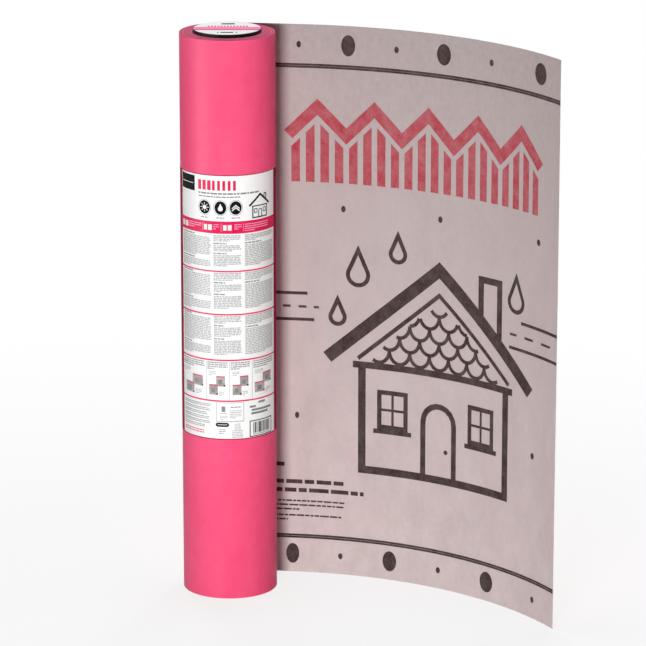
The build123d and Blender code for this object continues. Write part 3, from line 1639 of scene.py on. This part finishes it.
    def footer(self) -> None:
        """Draws the closing small print, the framed notice, the pill and the plain mark."""
        margin, row_pitch = -100.5, 8.2
        for row, right in enumerate((-31.0, -34.0, -40.0, -36.0, -33.0, -44.0)):
            self.words(Paragraph(margin, right, 380.0 - row * row_pitch, 2, Tone.TEXT, 1.5, 3.2))
        self.words(Paragraph(margin, -46.0, 328.5, 2, Tone.CRIMSON, 1.8, 4.2))
        self.framed(Tone.TEXT, -22.5, 347.0, 29.0, 383.5, 0.8)
        self.block(Tone.TEXT, -12.5, 366.0, -5.5, 376.5)
        self.block(Tone.PALE, -16.0, 362.0, -2.0, 363.6)
        for paragraph in (
            Paragraph(-16.0, -1.0, 358.5, 3, Tone.PALE, 1.4, 3.1),
            Paragraph(4.5, 24.0, 376.0, 1, Tone.TEXT, 2.0),
            Paragraph(2.5, 25.5, 369.0, 5, Tone.PALE, 1.6, 3.4),
            Paragraph(-17.0, 28.0, 348.5, 1, Tone.PALE, 1.5),
        ):
            self.words(paragraph)
        self.pill()
        self.words(Paragraph(-17.5, -4.5, 332.0, 3, Tone.TEXT, 1.4, 3.4))
        middle, narrow, broad = 17.5, 6.0, 10.5
        for row, reach in enumerate((narrow,) * 4 + (broad,) * 5):
            top = 343.0 - 3.2 * row
            self.words(Paragraph(middle - reach, middle + reach, top, 1, Tone.PALE, 1.7))
        marks = ((60.0, 76.0, 378.0), (41.0, 54.0, 371.0), (45.0, 93.0, 364.5), (44.0, 84.0, 358.0))
        for left, right, foot in marks:
            self.block(Tone.TEXT, left, foot, right, foot + 4.2)

    def framed(
        self, tone: Tone, left: float, bottom: float, right: float, top: float, weight: float
    ) -> None:
        """Draws an empty frame.

        Args:
            tone: The ink.
            left: Its left side, in millimetres.
            bottom: Its lower side, in millimetres.
            right: Its right side, in millimetres.
            top: Its upper side, in millimetres.
            weight: Its line's width, in millimetres.
        """
        corners = ((left, bottom), (right, bottom), (right, top), (left, top))
        self.ink(tone).stroke([(x * MM, y * MM) for x, y in corners], weight * MM, True)

    def pill(self) -> None:
        """Draws the round-ended black mark with its white slot."""
        middle, height, half, rise = -11.2 * MM, 341.0 * MM, 8.6 * MM, 4.0 * MM
        for tone, share in ((Tone.BLACK, 1.0), (Tone.WHITE, 0.14)):
            reach = rise * share
            right = arc_points(middle + half, height, reach, reach, -90, 90, 8)
            left = arc_points(middle - half, height, reach, reach, 90, 270, 8)
            self.ink(tone).outline([*right, *left])

    def bar_pattern(self) -> None:
        """Draws a framed row of upright bars of uneven width."""
        self.framed(Tone.BLACK, 41.5, 315.5, 95.5, 345.5, 1.8)
        draw = random.Random(5)
        start, stop, foot, top = 48.0, 89.0, 321.5, 342.5
        spot = start
        while spot < stop:
            width = draw.choice((0.9, 1.4, 2.4))
            self.block(draw.choice((Tone.BLACK, Tone.TEXT)), spot, foot, spot + width, top)
            spot += width + draw.choice((0.7, 1.2))
        self.words(Paragraph(start, stop, foot - 1.5, 1, Tone.TEXT, 1.6))


@dataclass
class EndLabel:
    """The round paper label on the plug, with its print.

    Attributes:
        radius: The label's radius.
        level: The height of its underside.
        paper: The paper's thickness.
        film: The ink's thickness and its gap to the paper.
    """

    radius: float
    level: float
    paper: float = 0.3 * MM
    film: float = 0.04 * MM

    def place(self, across: float, along: float, lift: float) -> Vector:
        """Lays a flat point on the label's level."""
        return Vector((across, along, self.level + lift))

    def chord(self, along: float, margin: float) -> float:
        """Gives half the label's width at one distance from its middle, less a margin."""
        return math.sqrt(max(self.radius**2 - along**2, 0.0)) - margin

    def build(self) -> list[bpy.types.Object]:
        """Makes the paper disc and its print.

        Returns:
            The paper and each ink's piece.
        """
        disc = FlatShapes()
        disc.dot(0.0, 0.0, 2 * self.radius, 2 * self.radius, 128)
        paper = adopt(disc.lay(self.place, 0.0, self.paper), "end_paper", (PAPER_WHITE,), Slot.PAPER)
        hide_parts("end_label")
        blush, crimson, black = FlatShapes(), FlatShapes(), FlatShapes()
        self.band(blush, -11.0 * MM, 10.0 * MM)
        self.band(crimson, -19.0 * MM, -11.0 * MM)
        first, pitch, half = -34.0 * MM, 5.85 * MM, 1.7 * MM
        for index in range(13):
            middle = first + pitch * index
            crimson.panel(middle - half, 11.5 * MM, middle + half, 20.5 * MM)
        marks = ((-11, 34, 13, 44), (-11, -46, 12, -38), (-17, -46, -15, -37), (17, -46, 19, -37))
        for sides in marks:
            black.panel(*(side * MM for side in sides))
        inks = {Tone.BLUSH: blush, Tone.CRIMSON: crimson, Tone.BLACK: black}
        pieces = [paper]
        for tone, shapes in inks.items():
            laid = shapes.lay(self.place, self.paper + self.film, self.film)
            pieces.append(adopt(laid, f"end_print_{tone.name.lower()}", (LABEL_INKS[tone],), Slot.PAPER))
        return pieces

    def band(self, shapes: FlatShapes, low: float, high: float) -> None:
        """Draws a band right across the disc.

        Args:
            shapes: What is drawn into.
            low: The band's front edge.
            high: The band's rear edge.
        """
        steps, margin = 6, 0.2 * MM
        levels = [low + (high - low) * step / steps for step in range(steps + 1)]
        right = [(self.chord(level, margin), level) for level in levels]
        left = [(-x, y) for x, y in reversed(right)]
        shapes.outline(right + left)


@dataclass(frozen=True)
class Lamp:
    """A soft rectangular lamp.

    Attributes:
        name: The lamp's name.
        spot: Its place.
        aim: The point that it faces.
        wide: Its width.
        tall: Its height.
        level: How bright a white face turned to it looks at the aim, where 1 is plain white.
        spread: True if it lights matt surfaces.
        mirrored: True if it shows as a highlight.
    """

    name: str
    spot: tuple[float, float, float]
    aim: tuple[float, float, float]
    wide: float
    tall: float
    level: float
    spread: bool = True
    mirrored: bool = True

    def hang(self) -> None:
        """Adds the lamp, with the power that its level needs at its distance."""
        way = Vector(self.aim) - Vector(self.spot)
        data = bpy.data.lights.new(self.name, "AREA")
        data.shape = "RECTANGLE"
        data.size, data.size_y = self.wide, self.tall
        data.energy = self.level * (math.pi * way.length) ** 2
        lamp = bpy.data.objects.new(self.name, data)
        lamp.location = self.spot
        lamp.rotation_euler = way.to_track_quat("-Z", "Y").to_euler()
        lamp.visible_camera = False
        lamp.visible_diffuse = self.spread
        lamp.visible_glossy = self.mirrored
        bpy.context.scene.collection.objects.link(lamp)


@dataclass
class Studio:
    """The floor, the lamps and the camera.

    Attributes:
        eye: The camera's place.
        pitch: How far the camera looks down.
        focal_pixels: The focal length in pixels of the photograph's frame.
        frame_pixels: The width of that frame.
        sensor: The camera's sensor width, in millimetres.
        ambience: The level of the light from all round.
        floor_reach: Half the floor's width.
        lamps: The lamps.
    """

    eye: tuple[float, float, float] = (0.17578, -7.47563, 2.56066)
    pitch: float = math.radians(15.3176)
    focal_pixels: float = 4149.8
    frame_pixels: float = 646.0
    sensor: float = 36.0
    ambience: float = 0.05
    floor_reach: float = 20.0
    lamps: tuple[Lamp, ...] = (
        Lamp("key_lamp", (-0.85, -5.0, 0.9), (0.1, 0.0, 0.45), 1.2, 1.2, 0.86, mirrored=False),
        Lamp("low_lamp", (0.25, -2.0, 0.1), (0.2, 0.0, 0.2), 1.2, 0.2, 0.12, mirrored=False),
        Lamp("strip_lamp", (-2.75, -1.37, 0.9), (0.0, 0.0, 0.55), 0.3, 2.4, 2.0, spread=False),
        Lamp("top_lamp", (0.1, 0.25, 3.6), (0.1, 0.0, 1.0), 0.9, 0.9, 0.7, mirrored=False),
        Lamp("rear_left_lamp", (-1.5, 4.6, 1.6), (0.0, 0.0, 0.5), 1.4, 1.4, 0.5, mirrored=False),
        Lamp("rear_right_lamp", (1.9, 4.6, 1.6), (0.2, 0.0, 0.5), 1.4, 1.4, 0.5, mirrored=False),
    )

    def build(self) -> None:
        """Sets up the floor, the world, the lamps and the camera."""
        self.floor()
        self.world()
        for lamp in self.lamps:
            lamp.hang()
        self.camera()

    def floor(self) -> None:
        """Lays the floor."""
        mesh = bmesh.new()
        bmesh.ops.create_grid(mesh, x_segments=1, y_segments=1, size=self.floor_reach)
        data = bpy.data.meshes.new("floor")
        mesh.to_mesh(data)
        mesh.free()
        data.materials.append(PALE_FLOOR.material())
        floor = bpy.data.objects.new("floor", data)
        bpy.context.scene.collection.objects.link(floor)

    def world(self) -> None:
        """Makes the surroundings soft, and white behind the object."""
        world = bpy.data.worlds.new("studio")
        world.use_nodes = True
        wiring = Wiring(world.node_tree)
        world.node_tree.nodes.clear()
        seen = seen_directly(wiring)
        strength = wiring.math("ADD", wiring.math("MULTIPLY", seen, 1.0 - self.ambience), self.ambience)
        sky = wiring.feed(wiring.add("Background"), Strength=strength)
        sky.inputs["Color"].default_value = (1.0, 1.0, 1.0, 1.0)
        output = wiring.add("OutputWorld")
        world.node_tree.links.new(sky.outputs[0], output.inputs[0])
        bpy.context.scene.world = world

    def camera(self) -> None:
        """Sets the camera at the photograph's place."""
        data = bpy.data.cameras.new("camera")
        data.sensor_fit = "HORIZONTAL"
        data.sensor_width = self.sensor
        data.lens = self.sensor * self.focal_pixels / self.frame_pixels
        data.clip_end = 100.0
        camera = bpy.data.objects.new("camera", data)
        camera.location = self.eye
        camera.rotation_euler = (math.pi / 2 - self.pitch, 0.0, 0.0)
        bpy.context.scene.collection.objects.link(camera)
        bpy.context.scene.camera = camera
        bpy.context.scene.view_settings.view_transform = "Standard"


def dress_plug() -> bpy.types.Object:
    """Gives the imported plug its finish.

    Returns:
        The plug.
    """
    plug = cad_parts["end_plug"]
    plug.data.materials.clear()
    plug.data.materials.append(PLUG_BLACK.material())
    return plug


def main() -> None:
    """Builds the roll, its free end, its print and its labels, and sets up the studio."""
    logging.basicConfig(level=logging.INFO, format="%(name)s: %(message)s")
    low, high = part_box("felt_roll")
    radius, height = -low.x, high.z
    wrap_low, wrap_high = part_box("wrap_label")
    disc_low, disc_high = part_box("end_label")
    route = WebRoute(radius, height)
    back = radius + GLUE_LINE
    pieces = [
        WoundRoll(radius, BORE_RADIUS, height, SEAT_RADIUS, SEAT_DEPTH).build(),
        FreeEnd(route).build(),
        *WebPrint(route).build(),
        *WrapLabel(RollFace(back), wrap_low.z, wrap_high.z, LABEL_HALF_TURN * back).build(),
        *EndLabel(disc_high.x, disc_low.z).build(),
        dress_plug(),
    ]
    for piece in pieces:
        LOG.info("%s: %d faces", piece.name, len(piece.data.polygons))
    Studio().build()


if __name__ == "__main__":
    main()
